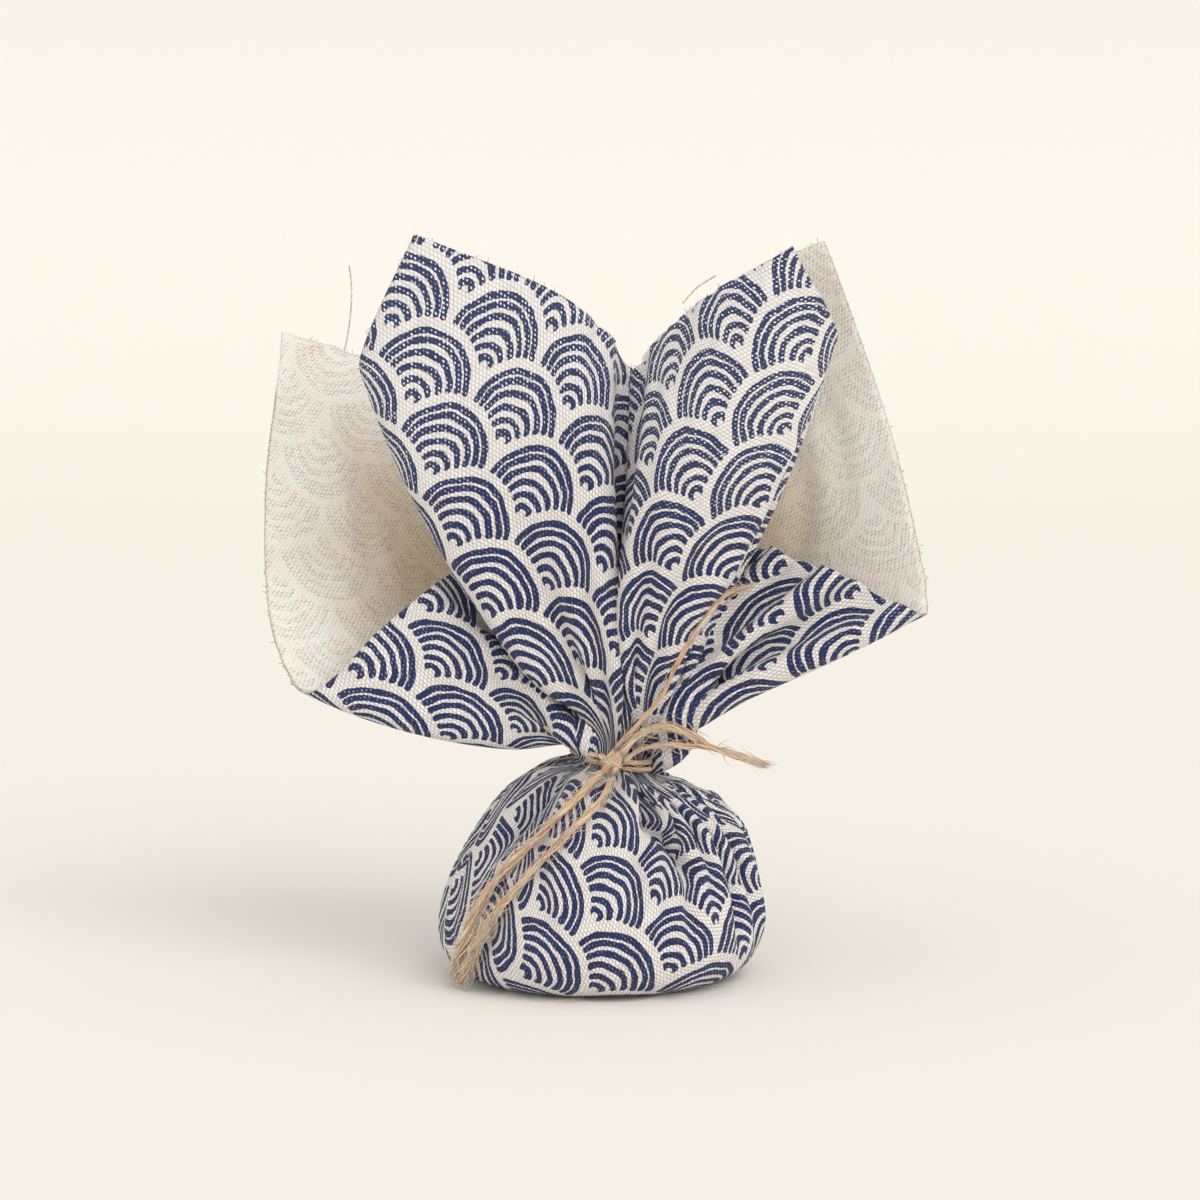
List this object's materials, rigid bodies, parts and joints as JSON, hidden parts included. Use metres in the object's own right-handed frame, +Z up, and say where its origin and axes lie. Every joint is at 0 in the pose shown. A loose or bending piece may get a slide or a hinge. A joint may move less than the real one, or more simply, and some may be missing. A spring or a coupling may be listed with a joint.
{
  "type": "handkerchief",
  "caption": "Square printed canvas handkerchief gathered into a small standing pouch, tied at the neck with jute twine, its corners flaring up above the tie.",
  "frame": {"origin": "centre of the pouch's flat base, on the surface that it stands on", "axes": "+Z up through the tie, +X towards the viewer's right, +Y away from the front, where the tie's knot is"},
  "size_m": [0.1663, 0.1032, 0.1871],
  "materials": {
    "cloth": "matt half-panama canvas, cream with navy wave print outside",
    "twine": "hairy natural jute"
  },
  "bodies": {
    "root": {"cloth": "cloth", "twine_turn_lower": "twine", "twine_turn_upper": "twine", "twine_knot": "twine", "twine_loop": "twine", "twine_tail_up": "twine", "twine_tail_right": "twine", "twine_ply_right": "twine"}
  },
  "joints": []
}
